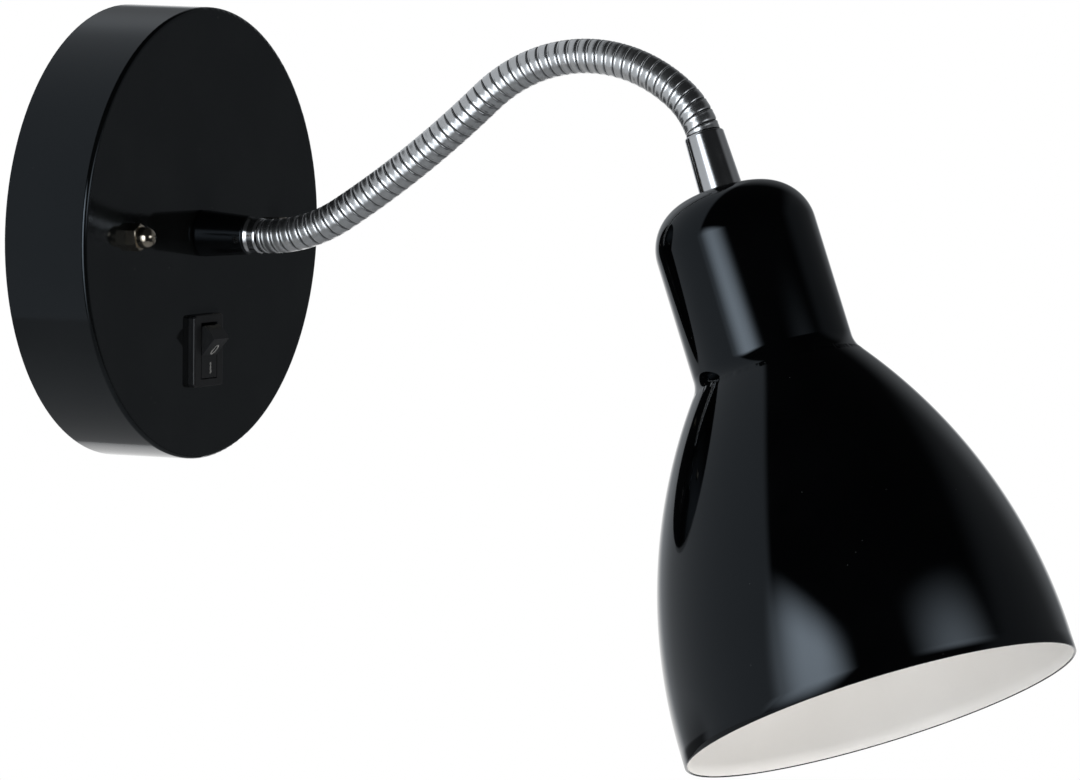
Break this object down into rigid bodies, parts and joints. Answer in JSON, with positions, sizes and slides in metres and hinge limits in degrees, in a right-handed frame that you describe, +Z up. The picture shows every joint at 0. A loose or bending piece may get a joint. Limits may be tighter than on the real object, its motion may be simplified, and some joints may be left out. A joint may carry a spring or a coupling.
{
  "type": "wall lamp with gooseneck arm",
  "caption": "Wall lamp: round black wall plate with a rocker switch, a bendable chrome gooseneck arm and a black bell shade on a cylindrical neck, white inside.",
  "frame": {"origin": "Centre of the wall plate's back, on the wall's plane.", "axes": "+Y points into the wall and the lamp reaches to -Y; +Z is up, with the switch below the arm; +X is to the right as seen from the front."},
  "size_m": [0.1339, 0.3104, 0.2132],
  "materials": {
    "black_paint": "gloss black enamel on steel sheet; the inside of the shade is off-white",
    "chrome": "bright chrome plate",
    "nickel": "polished nickel plate, slightly warm",
    "zinc_steel": "zinc-plated steel",
    "switch_plastic": "semi-gloss black moulded plastic",
    "brass": "plain brass",
    "clear_nylon": "milky natural nylon",
    "holder_plastic": "black moulded thermoset",
    "ceramic": "unglazed white ceramic",
    "brown_lead": "brown PVC insulation",
    "blue_lead": "blue PVC insulation",
    "earth_lead": "green and yellow PVC insulation",
    "white_lead": "white heat-resistant insulation",
    "flex_sheath": "black PVC sheath"
  },
  "bodies": {
    "wall_mount": {"wall_plate": "black_paint", "arm_boss": "black_paint", "arm_collar": "chrome", "gooseneck_1": "chrome", "cap_nuts": "nickel", "wall_bracket": "zinc_steel", "bracket_screws": "zinc_steel", "bracket_lock_nuts": "zinc_steel", "boss_set_screw": "zinc_steel", "boss_tube": "zinc_steel", "boss_washer": "zinc_steel", "boss_lock_nut": "zinc_steel", "terminal_screws": "zinc_steel", "block_screw": "zinc_steel", "switch_housing": "switch_plastic", "switch_terminals": "brass", "terminal_barrels": "brass", "earth_tag": "brass", "terminal_block": "clear_nylon", "lead_supply": "brown_lead", "lead_switched": "brown_lead", "lead_neutral": "blue_lead", "lead_earth": "earth_lead", "arm_flex_1": "flex_sheath"},
    "arm_link_2": {"gooseneck_2": "chrome", "arm_flex_2": "flex_sheath"},
    "arm_link_3": {"gooseneck_3": "chrome", "arm_flex_3": "flex_sheath"},
    "arm_link_4": {"gooseneck_4": "chrome", "arm_flex_4": "flex_sheath"},
    "arm_link_5": {"gooseneck_5": "chrome", "arm_flex_5": "flex_sheath"},
    "arm_link_6": {"gooseneck_6": "chrome", "arm_flex_6": "flex_sheath"},
    "arm_link_7": {"gooseneck_7": "chrome", "arm_flex_7": "flex_sheath"},
    "arm_link_8": {"gooseneck_8": "chrome", "arm_flex_8": "flex_sheath"},
    "head": {"gooseneck_9": "chrome", "arm_flex_9": "flex_sheath", "head_ferrule": "chrome", "head_tube": "zinc_steel", "shade": "black_paint", "shade_washer": "zinc_steel", "shade_lock_nut": "zinc_steel", "holder_cap": "holder_plastic", "holder_body": "holder_plastic", "holder_core": "ceramic", "holder_shell": "brass", "holder_contact": "brass", "holder_screws": "zinc_steel", "holder_leads": "white_lead"},
    "rocker": {"switch_rocker": "switch_plastic", "switch_plunger": "brass"},
    "contact_lever": {"switch_lever": "brass"}
  },
  "joints": [
    {"name": "arm_bend_1", "type": "hinge", "parent": "wall_mount", "child": "arm_link_2", "pos_m": [0.00029, -0.06551, 0.00331], "axis": [-0.9962, 0, 0.0872], "range_deg": [-12, 18]},
    {"name": "arm_swing_2", "type": "hinge", "parent": "arm_link_2", "child": "arm_link_3", "pos_m": [0.00111, -0.08157, 0.01265], "axis": [-0.0722, -0.5599, -0.8254], "range_deg": [-18, 18]},
    {"name": "arm_bend_3", "type": "hinge", "parent": "arm_link_3", "child": "arm_link_4", "pos_m": [0.00206, -0.09669, 0.0235], "axis": [-0.9962, 0, 0.0872], "range_deg": [-12, 18]},
    {"name": "arm_swing_4", "type": "hinge", "parent": "arm_link_4", "child": "arm_link_5", "pos_m": [0.00308, -0.11114, 0.03523], "axis": [-0.0659, -0.6547, -0.753], "range_deg": [-18, 18]},
    {"name": "arm_bend_5", "type": "hinge", "parent": "arm_link_5", "child": "arm_link_6", "pos_m": [0.00413, -0.12537, 0.04718], "axis": [-0.9962, 0, 0.0872], "range_deg": [-12, 18]},
    {"name": "arm_swing_6", "type": "hinge", "parent": "arm_link_6", "child": "arm_link_7", "pos_m": [0.00474, -0.1425, 0.05421], "axis": [-0.0854, -0.2001, -0.976], "range_deg": [-18, 18]},
    {"name": "arm_bend_7", "type": "hinge", "parent": "arm_link_7", "child": "arm_link_8", "pos_m": [0.00476, -0.16102, 0.05444], "axis": [-0.9962, 0, 0.0872], "range_deg": [-12, 18]},
    {"name": "arm_swing_8", "type": "hinge", "parent": "arm_link_8", "child": "head", "pos_m": [0.00419, -0.17832, 0.04784], "axis": [-0.0741, 0.5265, -0.8469], "range_deg": [-18, 18]},
    {"name": "switch_rocker_tilt", "type": "hinge", "parent": "wall_mount", "child": "rocker", "pos_m": [0, -0.0254, -0.034], "axis": [1, 0, 0], "range_deg": [-40, 0]},
    {"name": "contact_lever_tilt", "type": "hinge", "parent": "wall_mount", "child": "contact_lever", "pos_m": [0, -0.0179, -0.034], "axis": [1, 0, 0], "range_deg": [0, 12]}
  ],
  "couplings": [
    {"joint": "contact_lever_tilt", "follows": "switch_rocker_tilt", "ratio": -0.3}
  ]
}
